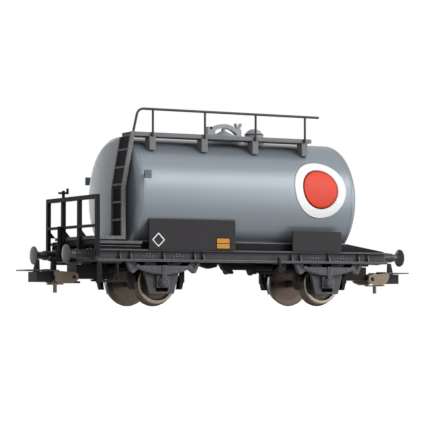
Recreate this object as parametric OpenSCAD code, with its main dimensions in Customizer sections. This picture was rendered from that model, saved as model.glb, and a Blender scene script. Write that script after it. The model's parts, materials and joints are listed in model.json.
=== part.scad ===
// Two-axle railway tank wagon, H0 scale model (1:87).
// Millimetres. +X runs along the wagon towards its plain end, -Y is the side
// with the walkway, +Z is up. The origin lies under the middle of the frame,
// level with the lowest points of the wheel flanges.

/* [Tank] */
// Outer radius of the tank barrel
tank_r = 15.6; // [13:0.1:19]
// Length of the tank barrel between its two end seams
tank_len = 62; // [50:1:75]
// Height of the tank axis above the solebar tops
tank_rise = 13.9; // [11:0.1:17]
// Radius of the knuckle where a dished end turns into the barrel
knuckle_r = 1.9; // [1:0.1:3]
// Radius of the shallow dish of a tank end
dish_r = 85; // [40:1:100]

/* [Underframe] */
// Length of the frame over its headstocks
frame_len = 86.8; // [72:0.2:104]
// Width of the frame over the solebar flanges
frame_w = 29; // [27:0.5:34]
// Height of the solebar channel
solebar_h = 3.1; // [2.5:0.1:4]
// Height of the solebar bottoms above the flange bottoms
solebar_z = 11.35; // [10.8:0.05:14]
// Wall thickness of the solebar web
web_t = 0.8; // [0.6:0.1:1.2]
// Depth of the solebar flanges outside the web
flange_d = 1.2; // [0.8:0.1:1.6]

/* [Wheels] */
// Distance between the two axles
wheelbase = 49.6; // [42:0.2:60]
// Tread diameter
tread_d = 11; // [9:0.1:12]
// Depth of the flange below the tread
flange_h = 0.65; // [0.5:0.05:1.2]
// Width of a wheel over rim and flange
wheel_w = 2.8; // [2.4:0.1:3.2]
// Distance between the backs of the two wheels
back_to_back = 14.4; // [14:0.1:14.8]
// Diameter of the axle between the wheels
axle_d = 2; // [1.6:0.1:2.4]
// Diameter of the axle journals
journal_d = 1.5; // [1.2:0.1:1.6]

/* [Buffers and couplers] */
// Height of the buffers above the rail
buffer_z = 12.55; // [11.5:0.05:13.5]
// Distance between the two buffers of one end
buffer_gauge = 20.1; // [18:0.1:22]
// Distance from the headstock to the buffer face
buffer_len = 7.1; // [6:0.1:9]
// Diameter of the buffer heads
buffer_d = 4.8; // [4:0.1:5.6]
// Reach of the coupler loop beyond the headstock
loop_reach = 14.7; // [14:0.1:20]
// Width over the coupler's side plates
loop_w = 8.6; // [7.6:0.1:10]

/* [Platform and walkway] */
// Height of the end railing above the platform floor
railing_h = 10.25; // [8:0.05:13]
// Length of the walkway beside the manhole
walkway_len = 53.6; // [42:0.2:58]
// Width of the walkway
walkway_w = 5.95; // [4.5:0.05:7]
// Height of the walkway handrail above the walkway
handrail_h = 5.9; // [4:0.1:8]

/* [Clearances] */
// Radial running clearance of journals and pivots
run_gap = 0.05; // [0.03:0.01:0.08]
// Gap between a moving piece and the fixed piece next to it
move_gap = 0.3; // [0.2:0.05:0.5]
// Gap between separate solids that are seated on each other
seat_gap = 0.02; // [0.01:0.01:0.05]

/* [Hidden] */
$fn = 48;

dark = [0.17, 0.17, 0.18];
frame_grey = [0.21, 0.21, 0.22];
deck_grey = [0.32, 0.31, 0.32];
tank_grey = [0.42, 0.45, 0.48];
steel = [0.55, 0.52, 0.48];
bronze = [0.62, 0.53, 0.43];

// Running gear
tread_r = tread_d / 2;
flange_r = tread_r + flange_h;
axle_z = flange_r;
axle_x = wheelbase / 2;
wheel_out = back_to_back / 2 + wheel_w;
guard_in = 11.7;
guard_t = 1.0;
journal_len = 0.9;
guard_out = guard_in + guard_t;
box_out = 14.4;
beam_x = flange_r + 1.45;

// Tank and axles sit a little towards the plain end, to make room for the platform
body_mid = 0.3;

// Frame levels and lines
frame_half = frame_len / 2;
frame_y = frame_w / 2;
headstock_t = 1.4;
sole_top = solebar_z + solebar_h;
web_out = frame_y - flange_d;
web_in = web_out - web_t;
low_flange_t = 0.6;
top_flange_t = 0.35;
sill_t = 1.1;
sill_half_w = 6.2;
rib_t = 0.35;
// Ribs between the axles, and between an axle and its headstock
mid_ribs = [axle_x - 11.5, axle_x - 8.9];
end_ribs = [frame_half - 9.2, frame_half - 6.2];

// Tank levels
tank_half = tank_len / 2;
tank_z = sole_top + tank_rise;
tank_top = tank_z + tank_r;
tank_left = body_mid - tank_half;
tank_right = body_mid + tank_half;
bearer_z = solebar_z + sill_t;
bearer_top = sole_top + 2.3;
bearer_in = web_in - 1.7;
saddle_t = 1.6;
saddle_x = [tank_half - 18.5, tank_half - 1.8];
end_angle = asin((tank_r - knuckle_r) / (dish_r - knuckle_r));
dish_mid = (dish_r - knuckle_r) * cos(end_angle);
end_bulge = dish_r - dish_mid;

// Manhole and valve
manhole_x = 0.5;
manhole_r = 4.3;
valve_x = 9.9;
valve_r = 2.6;

// Walkway
deck_t = 1.05;
deck_z = tank_top - 0.35;
deck_near = 11;
deck_left = -32.2;
deck_top = deck_z + deck_t;
bracket_w = 1.7;
bracket_depth = 2.4;
bracket_drop = 3.5;
bracket_first = 5.75;
bracket_pitch = 15.2;
bracket_count = 4;
post_r = 0.3;
wire_r = 0.33;
wire_y = deck_near + wire_r;
wire_z = deck_top + handrail_h;
wire_bend = 2;
wire_lean = 12.8;
wire_foot = deck_left + 0.15;
wire_over = 2;

// Platform
platform_t = 1.1;
platform_z = sole_top + 2.3;
platform_top = platform_z + platform_t;
platform_y = 11.8;
rail_t = 1.0;
post_w = 1.05;
rail_y = [-(frame_y + 0.6), -4.5, 5.4, frame_y + 0.35];
railing_top = platform_top + railing_h;
top_rail_h = 1.1;
mid_rail = [platform_top + 2.1, platform_top + 2.8];
spindle_r = 0.57;
bar_in = frame_y - 1.3;
bar_z = sole_top + 1.4;
bar_end = -tank_half - 0.05;
cross_bar_w = 0.9;
cross_bar_x = [-frame_half, -frame_half + 6.3];

// Ladder
stringer_t = 0.54;
stringer_d = 1.1;
ladder_near = deck_near + seat_gap + stringer_t / 2;
ladder_far = deck_near - walkway_w + 0.3;
ladder_in = tank_left - end_bulge - 0.56;
ladder_out = ladder_in - stringer_d;
ladder_shift = 2.65;
knee_z = tank_z + 1.8;
rung_t = 0.5;
rung_d = 0.55;
rung_low = platform_top + 4.2;
rung_pitch = 4.5;
rung_count = 5;

// Couplers, measured towards +X from the middle of the wagon
shank_pivot = frame_half - 6.9;
shank_half_w = 2.9;
shank_z = axle_z + 0.9;
shank_top = solebar_z - 2 * move_gap;
pin_r = 1.2;
loop_pivot = frame_half + 1.8;
loop_pivot_z = axle_z + 1.3;
trunnion_r = 0.5;
plate_t = 0.8;
plate_in = loop_w / 2 - plate_t;
head_x = [frame_half + 6.2, frame_half + 11.5];
head_z = [axle_z + 0.05, axle_z + 2.65];
neck_z = loop_pivot_z - 0.2;
loop_t = 0.3;
loop_z = head_z[1] + 0.2;

module at_end(side) {
    // side is -1 for the platform end and +1 for the plain end
    if (side > 0) children();
    else mirror([1, 0, 0]) children();
}

module on_side(side) {
    // side is -1 for the near side and +1 for the far side; children lie on the far side
    if (side > 0) children();
    else mirror([0, 1, 0]) children();
}

module at_tank_end(side) {
    // Ends of the tank, measured from the tank's own middle
    translate([body_mid, 0, 0]) at_end(side) children();
}

module at_axle(side) {
    // Children are drawn around the axle, with +X towards that axle's headstock
    at_tank_end(side) translate([axle_x, 0, 0]) children();
}

module along_x(x0, x1, r, y, z) {
    translate([x0, y, z]) rotate([0, 90, 0]) cylinder(r = r, h = x1 - x0);
}

module along_y(y0, y1, r, x, z) {
    translate([x, y1, z]) rotate([90, 0, 0]) cylinder(r = r, h = y1 - y0);
}

module block(x, y, z) {
    // A box given by its two ends on each axis
    translate([x[0], y[0], z[0]]) cube([x[1] - x[0], y[1] - y[0], z[1] - z[0]]);
}

module side_plate(y0, y1) {
    // Stands a drawn x-z outline up and gives it a thickness from y0 to y1
    translate([0, y1, 0]) rotate([90, 0, 0]) linear_extrude(height = y1 - y0) children();
}

module cross_plate(x0, x1) {
    // Stands a drawn y-z outline up and gives it a thickness from x0 to x1
    translate([x0, 0, 0]) rotate([90, 0, 90]) linear_extrude(height = x1 - x0) children();
}

module barrel_cut() {
    // The barrel's own space, a little longer, for what is seated on it
    along_x(tank_left - 1, tank_right + 1, tank_r, 0, tank_z, $fn = 96);
}

// ---------- Tank ----------

module tank_barrel() {
    color(tank_grey) along_x(tank_left, tank_right, tank_r, 0, tank_z, $fn = 96);
}

module tank_end(side) {
    // Shallow dish that turns into the barrel with a knuckle
    color(tank_grey) at_tank_end(side)
        translate([tank_half, 0, tank_z]) rotate([0, 90, 0])
            rotate_extrude($fn = 96) intersection() {
                union() {
                    intersection() {
                        translate([0, -dish_mid]) circle(r = dish_r, $fn = 240);
                        square([dish_r * sin(end_angle), dish_r]);
                    }
                    translate([tank_r - knuckle_r, 0]) circle(r = knuckle_r);
                }
                square([tank_r, end_bulge]);
            }
}

module tank_lamp_irons() {
    // Lamp iron beside the left seam on each side: a square plate on a short stem
    plate_w = 1.9;
    plate_h = 2.1;
    plate_y = tank_r + 1.75;
    stem_w = 0.5;
    height = tank_z + 5.05;
    color(tank_grey) for (side = [-1, 1]) on_side(side) translate([tank_left, 0, height]) {
        block([-plate_w / 2 - 0.3, plate_w / 2 - 0.3], [plate_y, plate_y + 0.4],
            [-plate_h / 2, plate_h / 2]);
        difference() {
            block([0, stem_w], [plate_y - 3.4, plate_y + 0.1], [-stem_w / 2, stem_w / 2]);
            translate([-tank_left, 0, -height]) barrel_cut();
        }
    }
}

module manhole_lid() {
    // Neck, rim, shallow conical lid and its centre stud
    lid_z = tank_top + 1.5;
    color(tank_grey) difference() {
        translate([manhole_x, 0, 0]) {
            translate([0, 0, tank_top - 1.2]) cylinder(r = manhole_r - 0.4, h = 1.9);
            translate([0, 0, tank_top + 0.7]) cylinder(r = manhole_r, h = 0.8);
            translate([0, 0, lid_z]) cylinder(r1 = 3.4, r2 = 0.9, h = 1.3);
            translate([0, 0, lid_z]) cylinder(r = 0.6, h = 2.05);
        }
        barrel_cut();
    }
}

module manhole_clamp() {
    // Arched bar over the lid, with a hinge block and a post with a wing nut
    bar_w = 1.5;
    lid_gap = manhole_r + 0.05;
    arch_r = 6.2;
    arch_t = 1.1;
    arch_top = tank_top + 4.8;
    post_x = [lid_gap - 0.6, lid_gap + 0.8];
    hinge_x = [-lid_gap - 0.8, -lid_gap + 1.5];
    color(tank_grey) difference() {
        translate([manhole_x, 0, 0]) {
            block(hinge_x, [-bar_w / 2, bar_w / 2], [tank_top - 1, tank_top + 3.9]);
            block(post_x, [-bar_w / 2, bar_w / 2], [tank_top - 1, tank_top + 3.5]);
            side_plate(-bar_w / 2, bar_w / 2) intersection() {
                translate([0, arch_top - arch_r]) difference() {
                    circle(r = arch_r);
                    circle(r = arch_r - arch_t);
                }
                translate([hinge_x[0], tank_top + 1.9]) square([post_x[1] - hinge_x[0], 4]);
            }
            for (tilt = [-28, 28])
                translate([post_x[0] + 0.7, 0, tank_top + 3.4]) rotate([0, tilt, 0])
                    block([-0.3, 0.3], [-0.4, 0.4], [0, 1.9]);
        }
        barrel_cut();
        translate([manhole_x, 0, tank_top - 1.2]) cylinder(r = lid_gap, h = 2.75);
        translate([manhole_x, 0, tank_top + 1.5]) cylinder(r1 = 3.6, r2 = 1.1, h = 1.4);
    }
}

module valve_dome() {
    // Low rim with a rounded cap
    color(tank_grey) difference() {
        translate([valve_x, 0, tank_top]) {
            translate([0, 0, -1]) cylinder(r = valve_r + 0.15, h = 2.4);
            translate([0, 0, 1.4]) cylinder(r = valve_r - 0.1, h = 0.7);
            translate([0, 0, 2.1]) intersection() {
                translate([0, 0, -0.95]) sphere(r = valve_r + 0.15);
                cylinder(r = valve_r, h = 3);
            }
        }
        barrel_cut();
    }
}

// ---------- Walkway and ladder ----------

module walkway_deck() {
    color(deck_grey)
        block([deck_left, deck_left + walkway_len], [-deck_near, -deck_near + walkway_w],
            [deck_z, deck_top]);
}

module bracket_at(i) {
    translate([deck_left + bracket_first + i * bracket_pitch, 0, 0]) children();
}

module walkway_brackets() {
    // Gussets between the deck and the barrel, cut to the barrel's curve
    color(deck_grey) difference() {
        for (i = [0 : bracket_count - 1]) bracket_at(i)
            block([-bracket_w / 2, bracket_w / 2], [-deck_near - 0.2, -deck_near + bracket_depth],
                [deck_z - bracket_drop, deck_z]);
        barrel_cut();
    }
}

module walkway_posts() {
    color(dark) for (i = [0 : bracket_count - 1]) bracket_at(i)
        translate([0, -wire_y, deck_z]) cylinder(r = post_r, h = wire_z - wire_r - deck_z);
}

module walkway_handrail() {
    // Straight rail, one bend, and a leaning leg down to the top of the ladder
    joint = 0.1;
    bend_foot = wire_z - wire_bend * (1 - sin(wire_lean));
    leg_x = wire_foot + (bend_foot - deck_top) * tan(wire_lean);
    bend_x = leg_x + wire_bend * cos(wire_lean);
    leg_len = (bend_foot - deck_top - seat_gap) / cos(wire_lean) - wire_r * tan(wire_lean);
    color(dark) {
        along_x(bend_x - joint, deck_left + walkway_len + wire_over, wire_r, -wire_y, wire_z);
        translate([bend_x, -wire_y, wire_z - wire_bend]) rotate([90, 0, 0])
            rotate([0, 0, 90]) rotate_extrude(angle = 90 - wire_lean)
                translate([wire_bend, 0]) circle(r = wire_r - seat_gap);
        translate([leg_x, -wire_y, bend_foot])
            rotate([0, 180 + wire_lean, 0]) translate([0, 0, -joint])
                cylinder(r = wire_r, h = leg_len + joint);
    }
}

module ladder() {
    // Two stringers that stand upright and then lean over the tank end to the walkway,
    // five rungs, a back plate behind the lower rungs and a sheet behind the upper ones
    sheet = [rung_d - 0.3, rung_d - 0.1];
    sheet_top = deck_z - seat_gap;
    function front(z) = ladder_out + max(0, z - knee_z) * ladder_shift / (deck_top - knee_z);
    module stringer(y, top, upper_d) {
        side_plate(-y - stringer_t / 2, -y + stringer_t / 2)
            polygon([[front(0), platform_top], [ladder_in, platform_top], [ladder_in, knee_z],
                [front(knee_z) + upper_d, knee_z], [front(top) + upper_d, top],
                [front(top), top], [front(knee_z), knee_z]]);
    }
    color(deck_grey) {
        stringer(ladder_near, deck_top, stringer_d - 0.01);
        stringer(ladder_far, deck_z - seat_gap, rung_d);
        for (i = [0 : rung_count - 1]) {
            z = rung_low + i * rung_pitch;
            translate([front(z), 0, z])
                block([0.05, rung_d], [-ladder_near, -ladder_far], [-rung_t / 2, rung_t / 2]);
        }
        block([ladder_in - 0.4, ladder_in - 0.1], [-ladder_far - 3.5, -ladder_far],
            [platform_top, knee_z]);
        side_plate(-ladder_near, -ladder_far)
            polygon([[front(knee_z) + sheet[0], knee_z], [front(knee_z) + sheet[1], knee_z],
                [front(sheet_top) + sheet[1], sheet_top],
                [front(sheet_top) + sheet[0], sheet_top]]);
    }
}

// ---------- Underframe ----------

module solebar(side) {
    // Channel with its flanges outside and tapered stiffening ribs
    ribs = concat(mid_ribs, [axle_x], end_ribs);
    color(frame_grey) on_side(side) {
        block([-frame_half, frame_half], [web_in, web_out], [solebar_z, sole_top]);
        block([-frame_half, frame_half], [web_in, frame_y],
            [solebar_z, solebar_z + low_flange_t]);
        block([-frame_half, frame_half], [web_in, frame_y], [sole_top - top_flange_t, sole_top]);
        for (end = [-1, 1], x = ribs) at_tank_end(end)
            cross_plate(x - rib_t / 2, x + rib_t / 2)
                polygon([[web_in, solebar_z + 0.1], [frame_y - 0.15, solebar_z + 0.1],
                    [frame_y - 0.15, solebar_z + low_flange_t],
                    [web_out + 0.15, sole_top - top_flange_t], [web_in, sole_top - 0.1]]);
    }
}

module headstock(side) {
    // Beam between the solebar ends, with a lip that carries the platform or the braces
    // and a guide strip over the coupler shank
    guide_half_w = 5;
    color(frame_grey) at_end(side) {
        block([frame_half - headstock_t, frame_half], [-web_in, web_in], [solebar_z, sole_top]);
        block([frame_half - 2 * headstock_t, frame_half - headstock_t], [-web_in, web_in],
            [sole_top - 0.5, sole_top]);
        block([frame_half - 2 * headstock_t, frame_half], [-guide_half_w, guide_half_w],
            [shank_top + move_gap / 2, solebar_z]);
    }
}

module center_sill() {
    half = frame_half - headstock_t;
    color(dark) block([-half, half], [-sill_half_w, sill_half_w], [solebar_z, solebar_z + sill_t]);
}

module cross_members() {
    // Short beams between the centre sill and the solebars
    color(dark) for (side = [-1, 1]) on_side(side) {
        for (end = [-1, 1], x = [-beam_x, beam_x]) at_axle(end)
            block([x - 1, x + 1], [sill_half_w, web_in], [solebar_z, solebar_z + sill_t]);
        block([-1, 1], [sill_half_w, web_in], [solebar_z, solebar_z + sill_t]);
    }
}

module tank_bearers() {
    // Two long bearers inside the solebars
    color(dark) difference() {
        for (side = [-1, 1]) on_side(side)
            block([tank_left, tank_right], [bearer_in, web_in], [bearer_z, bearer_top]);
        barrel_cut();
    }
}

module tank_saddles() {
    // Saddles between the bearers, cut to the barrel and kept clear of the wheels
    wheel_y = wheel_out + move_gap;
    color(dark) difference() {
        for (end = [-1, 1], x = saddle_x) at_tank_end(end)
            block([x - saddle_t / 2, x + saddle_t / 2], [-bearer_in, bearer_in],
                [bearer_z, bearer_top]);
        barrel_cut();
        for (end = [-1, 1]) at_axle(end)
            along_y(-wheel_y, wheel_y, flange_r + move_gap, 0, axle_z);
    }
}

module bearer_braces() {
    // Sloping braces from the bearers out to the plain end's headstock
    lip = frame_half - 2 * headstock_t;
    color(dark) for (side = [-1, 1]) on_side(side)
        side_plate(bearer_in, web_in)
            polygon([[tank_right, bearer_z], [lip, bearer_z], [lip, sole_top],
                [frame_half, sole_top], [frame_half, sole_top + 0.3], [tank_right, bearer_top]]);
}

module drawhooks() {
    // Fixed hook imitation in the middle of each headstock, at the platform end with a link
    hook_z = solebar_z + 0.45;
    hook_t = 0.9;
    link_x = frame_half + 5;
    color(dark) for (side = [-1, 1]) at_end(side) {
        block([frame_half, frame_half + 0.4], [-1.3, 1.3], [hook_z - 0.4, hook_z + 1.5]);
        side_plate(-hook_t / 2, hook_t / 2)
            polygon([[frame_half, hook_z - 0.35], [frame_half + 4.8, hook_z - 0.35],
                [frame_half + 6.3, hook_z - 0.4], [frame_half + 7.2, hook_z - 0.1],
                [frame_half + 6.6, hook_z + 0.9], [frame_half + 6.1, hook_z + 0.4],
                [frame_half, hook_z + 0.35]]);
    }
    color(dark) at_end(-1)
        block([link_x, link_x + 1.2], [-0.4, 0.4], [head_z[1] + 0.5, hook_z]);
}

module buffer(end, side) {
    // Base, sleeve, plunger and head
    head_r = buffer_d / 2;
    sleeve_r = 1.2;
    plunger_r = 0.95;
    sleeve_len = 4.3;
    base = 1.45;
    color(dark) at_end(end) on_side(side)
        translate([frame_half, buffer_gauge / 2, buffer_z + flange_h]) {
            block([0, 0.4], [-base, base], [-base, sole_top - buffer_z - flange_h]);
            rotate([0, 90, 0]) rotate_extrude()
                polygon([[0, 0], [base, 0], [base, 0.9], [sleeve_r, 1.2],
                    [sleeve_r, sleeve_len], [plunger_r, sleeve_len],
                    [plunger_r, buffer_len - 1.4], [head_r - 0.3, buffer_len - 0.7],
                    [head_r, buffer_len - 0.5], [head_r, buffer_len - 0.2],
                    [head_r - 0.4, buffer_len], [0, buffer_len]]);
        }
}

module axle_guard(end, side) {
    // W-shaped guard plate, axle box with cover, leaf spring and spring links
    legs_z = axle_z + 3.4;
    foot_z = axle_z - 2.9;
    spring_z = solebar_z - 1.3;
    spring_half = 8;
    spring_r = 19.7;
    spring_drop = 1.9;
    link_y = box_out - 0.6;
    color(frame_grey) at_axle(end) on_side(side) difference() {
        union() {
            side_plate(guard_in, guard_out) difference() {
                polygon([[-3.45, foot_z], [3.45, foot_z], [5.1, legs_z], [5.1, solebar_z],
                    [-5.1, solebar_z], [-5.1, legs_z]]);
                translate([-1.75, axle_z - 2.4]) square([3.5, 1.05]);
                translate([-1.6, legs_z]) square([3.2, solebar_z - legs_z + 1]);
            }
            block([-1.8, 1.8], [guard_in, box_out - 0.9], [axle_z - 1.35, axle_z + 1.7]);
            along_y(guard_in, box_out - 0.4, 1.3, 0, axle_z);
            along_y(guard_in, box_out, 0.75, 0, axle_z);
            // Leaf spring with a straight top and a curved belly
            side_plate(guard_out, box_out - 0.5) intersection() {
                translate([0, spring_z - spring_drop + spring_r])
                    circle(r = spring_r, $fn = 144);
                translate([-spring_half, spring_z - spring_drop])
                    square([2 * spring_half, spring_drop + 0.3]);
            }
            block([-0.6, 0.6], [guard_out, box_out - 0.2], [axle_z + 1, spring_z + 0.4]);
            // Spring hook, link and bracket at each end of the spring, and an ear of the guard
            for (s = [-1, 1]) {
                side_plate(guard_out, link_y)
                    polygon([[s * 6.6, spring_z], [s * 7.3, spring_z + 0.8],
                        [s * 9.3, spring_z - 0.9], [s * 8.6, spring_z - 1.6]]);
                side_plate(guard_out, link_y)
                    polygon([[s * 9.7, solebar_z], [s * 10.6, solebar_z],
                        [s * 9.4, spring_z - 1.2], [s * 8.6, spring_z - 0.9]]);
                side_plate(guard_out, guard_out + 0.8)
                    polygon([[s * 7.5, solebar_z], [s * 9.8, solebar_z],
                        [s * 9.1, spring_z - 0.6], [s * 8.1, spring_z]]);
                side_plate(guard_in, web_out)
                    polygon([[s * 3, solebar_z - 0.4], [s * 5.1, solebar_z - 0.4],
                        [s * 5.1, solebar_z], [s * 3, solebar_z]]);
            }
        }
        along_y(guard_in - 1, guard_in + journal_len + 3 * run_gap, journal_d / 2 + run_gap,
            0, axle_z);
    }
}

module brake_gear(end) {
    // Two brake beams, each with two hangers and two shoes that stay off the wheel
    shoe_r = flange_r + 0.4;
    shoe_x = flange_r + 1.85;
    shoe_y = [back_to_back / 2 + 0.9, wheel_out + 0.1];
    color(dark) at_axle(end) for (s = [-1, 1]) {
        block([s * beam_x - 0.5, s * beam_x + 0.5], [seat_gap - shoe_y[0], shoe_y[0] - seat_gap],
            [axle_z + 2.7, axle_z + 3.5]);
        for (side = [-1, 1]) on_side(side) {
            side_plate(shoe_y[0], shoe_y[1]) difference() {
                intersection() {
                    translate([0, axle_z + 1]) circle(r = shoe_r + 1.1);
                    translate([s * shoe_x - 3, axle_z - 1.8]) square([6, 3.6]);
                }
                translate([0, axle_z]) circle(r = shoe_r);
            }
            block([s * beam_x - 0.45, s * beam_x + 0.45], [shoe_y[0] + 0.3, shoe_y[1] - 0.3],
                [axle_z, solebar_z]);
        }
    }
}

module brake_cylinder() {
    // Brake cylinder, air reservoir, valve block and levers under the centre sill
    rod_y = -4.6;
    tank_y = [rod_y - 0.9, rod_y + 0.9];
    color(dark) {
        along_x(7.6, 12.8, 0.9, rod_y, solebar_z - 0.9);
        block([-1.6, 7.6], [tank_y[0], tank_y[1]], [solebar_z - 1.75, solebar_z - 0.9]);
        block([-1.6, 12.2], [rod_y - 0.5, rod_y + 0.5], [solebar_z - 0.95, solebar_z]);
        block([6.1, 7.6], [tank_y[0], tank_y[1]], [solebar_z - 2.8, solebar_z - 0.9]);
        side_plate(tank_y[0], tank_y[1])
            polygon([[-3.4, solebar_z], [-1.4, solebar_z], [0.6, solebar_z - 2.3],
                [0.3, solebar_z - 2.8], [-0.9, solebar_z - 2.7], [-2.4, solebar_z - 1.6]]);
        side_plate(tank_y[0], tank_y[1])
            polygon([[-10.2, solebar_z], [-4.2, solebar_z], [-4.5, solebar_z - 1],
                [-6.8, solebar_z - 1.5], [-9.2, solebar_z - 0.8]]);
    }
}

module changeover_levers() {
    // Brake changeover lever with its round handle on each side
    lever_x = 9.5;
    handle_z = solebar_z - 1.75;
    lever_y = [frame_y, frame_y + 0.45];
    color(dark) for (side = [-1, 1]) on_side(side) {
        side_plate(lever_y[0], lever_y[1])
            polygon([[lever_x - 0.3, handle_z], [lever_x + 0.3, handle_z],
                [lever_x - 0.2, solebar_z + 1.5], [lever_x - 0.8, solebar_z + 1.5]]);
        along_y(lever_y[0], lever_y[1] + 0.1, 0.9, lever_x, handle_z);
    }
}

module boards(side) {
    // Blank black panels that stand on the solebar, on short arms
    board_t = 0.5;
    board_y = frame_y - 0.1;
    arm = 0.8;
    large = [[-tank_half + 1.8, -4.2], 7.8];
    small = [[tank_half - 17.8, tank_half - 2.7], 5.4];
    color(dark) on_side(side) for (b = [large, small]) {
        block(b[0], [board_y, board_y + board_t], [sole_top, sole_top + b[1]]);
        for (x = [b[0][0] + 2.5, b[0][1] - 3.3])
            block([x, x + arm], [web_in - 1, board_y - seat_gap], [bearer_top, bearer_top + 0.7]);
    }
}

// ---------- Platform ----------

module platform_floor() {
    // Grating that ends at the foot of the ladder
    color(deck_grey)
        block([-frame_half, ladder_in], [-platform_y, platform_y], [platform_z, platform_top]);
}

module platform_side_bars() {
    // Angle bar along each side, on an upright web with a thin ledge
    color(dark) for (side = [-1, 1]) on_side(side) {
        block([-frame_half, bar_end], [bar_in, frame_y - 0.1], [bar_z, bar_z + 0.7]);
        block([-frame_half, bar_end], [bar_in, bar_in + 0.4], [sole_top, bar_z]);
        block([-frame_half, bar_end - 1], [bar_in, bar_in + 0.8], [sole_top + 0.7, sole_top + 0.9]);
    }
}

module platform_cross_bars() {
    color(dark) for (x = cross_bar_x)
        block([x, x + cross_bar_w], [-bar_in, bar_in], [bar_z - 0.2, platform_z]);
}

module platform_railing() {
    // Four posts on the headstock face with two rails and corner gussets
    back = -frame_half;
    front = back - rail_t;
    color(dark) {
        for (y = rail_y)
            block([front, back], [y - post_w / 2, y + post_w / 2], [solebar_z + 1.2, railing_top]);
        for (z = [mid_rail, [railing_top - top_rail_h, railing_top]])
            block([front, back], [rail_y[0], rail_y[3]], z);
        for (y = [rail_y[1], rail_y[2], rail_y[3]])
            side_plate(y - 0.3, y + 0.3)
                polygon([[back - 0.1, platform_top], [back + 1.4, platform_top],
                    [back, platform_top + 1.6], [back - 0.1, platform_top + 1.6]]);
    }
}

module brake_spindle() {
    // Screw-brake column in front of an inner post, with its crank on the post
    x = -frame_half - rail_t - spindle_r;
    y = rail_y[2];
    post_x = -frame_half - rail_t / 2;
    hub_z = railing_top + 0.95;
    arm = 1.4;
    arm_t = 0.5;
    color(dark) {
        translate([x, y, solebar_z + 1]) cylinder(r = spindle_r, h = mid_rail[1] - solebar_z - 1);
        for (z = [solebar_z + 1.4, mid_rail[0]])
            block([x, x + spindle_r], [y - 0.3, y + 0.3], [z, z + 0.7]);
        translate([post_x, y, 0]) {
            translate([0, 0, railing_top]) cylinder(r = 0.4, h = 1.85);
            block([-arm, arm], [-arm_t / 2, arm_t / 2], [hub_z, hub_z + arm_t]);
            block([-arm_t / 2, arm_t / 2], [-arm, arm], [hub_z, hub_z + arm_t]);
            block([arm - arm_t, arm], [-arm_t / 2, arm_t / 2], [hub_z, hub_z + 1.5]);
        }
    }
}

module side_steps() {
    // Hanging step under each end of the platform
    x0 = -frame_half - 0.1;
    hanger_t = 0.5;
    board_z = axle_z;
    color(dark) for (side = [-1, 1]) on_side(side) {
        block([x0, x0 + 6.7], [frame_y - hanger_t, frame_y], [solebar_z - 0.5, solebar_z]);
        for (x = [[x0, x0 + 1.1], [x0 + 5.35, x0 + 5.8]])
            block(x, [frame_y - hanger_t, frame_y], [board_z, solebar_z - 0.5]);
        block([x0, x0 + 8.1], [frame_y - 1.2, frame_y + 0.5], [board_z - 0.05, board_z + 0.5]);
    }
}

// ---------- Wheelsets ----------

module axle(end) {
    // Axle with thinner journals that run in the axle boxes
    tip = guard_in + journal_len + run_gap;
    color(steel) at_axle(end) {
        along_y(-wheel_out - 0.4, wheel_out + 0.4, axle_d / 2, 0, axle_z);
        along_y(-tip, tip, journal_d / 2, 0, axle_z);
    }
}

module wheels(end) {
    // Two disc wheels with flange, coned tread and recessed disc
    color(steel) at_axle(end) for (side = [-1, 1]) on_side(side)
        translate([0, back_to_back / 2, axle_z]) rotate([-90, 0, 0])
            rotate_extrude($fn = 72)
                polygon([[axle_d / 2, 0], [flange_r - 0.25, 0], [flange_r, 0.25],
                    [flange_r, 0.45], [tread_r + 0.12, 0.8], [tread_r, 1.0],
                    [tread_r - 0.1, wheel_w - 0.2], [tread_r - 0.3, wheel_w],
                    [tread_r - 0.9, wheel_w], [tread_r - 1.1, wheel_w - 0.8],
                    [axle_d / 2 + 1.0, wheel_w - 0.6], [axle_d / 2 + 0.8, wheel_w],
                    [axle_d / 2, wheel_w]]);
}

// ---------- Couplers ----------

module coupler_pivots() {
    // Pin under the centre sill that each coupler shank swings on
    color(dark) for (end = [-1, 1]) at_end(end) translate([shank_pivot, 0, 0]) {
        translate([0, 0, shank_top + run_gap]) cylinder(r = 2, h = solebar_z - shank_top - run_gap);
        translate([0, 0, shank_z - 0.5]) cylinder(r = pin_r, h = solebar_z - shank_z + 0.5);
        translate([0, 0, shank_z - 0.6]) cylinder(r = 1.9, h = 0.5);
    }
}

module coupler_shank(end) {
    // Box-section shank with the bore for its pivot pin
    color(dark) at_end(end) difference() {
        block([shank_pivot - 1.7, frame_half + 0.6], [-shank_half_w, shank_half_w],
            [shank_z, shank_top]);
        translate([shank_pivot, 0, shank_z - 1])
            cylinder(r = pin_r + run_gap, h = shank_top - shank_z + 2);
    }
}

module coupler_head(end) {
    // Neck with trunnions for the loop, head block with a chamfered heel, and the hook fin
    head_half_w = 2.7;
    heel = 1.2;
    fin_t = 0.9;
    color(dark) at_end(end) {
        block([frame_half + 0.6, head_x[0] + 0.5], [-2, 2], [neck_z, head_z[1] - 0.1]);
        side_plate(-head_half_w, head_half_w)
            polygon([[head_x[0], neck_z], [head_x[0] + heel, head_z[0]], [head_x[1], head_z[0]],
                [head_x[1], head_z[1]], [head_x[0], head_z[1]]]);
        block([head_x[0] + 0.4, head_x[0] + 2.1], [-1.2, 1.2], [head_z[1] - 0.2, head_z[1] + 0.7]);
        along_y(-loop_w / 2 + 0.2, loop_w / 2 - 0.2, trunnion_r, loop_pivot, loop_pivot_z);
        side_plate(-fin_t / 2, fin_t / 2)
            polygon([[head_x[1] - 1.9, head_z[1] - 0.1], [head_x[1] - 0.2, head_z[1] - 0.1],
                [head_x[1] - 1.0, head_z[1] + 3.1], [head_x[1] - 1.75, head_z[1] + 3.1]]);
    }
}

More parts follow.
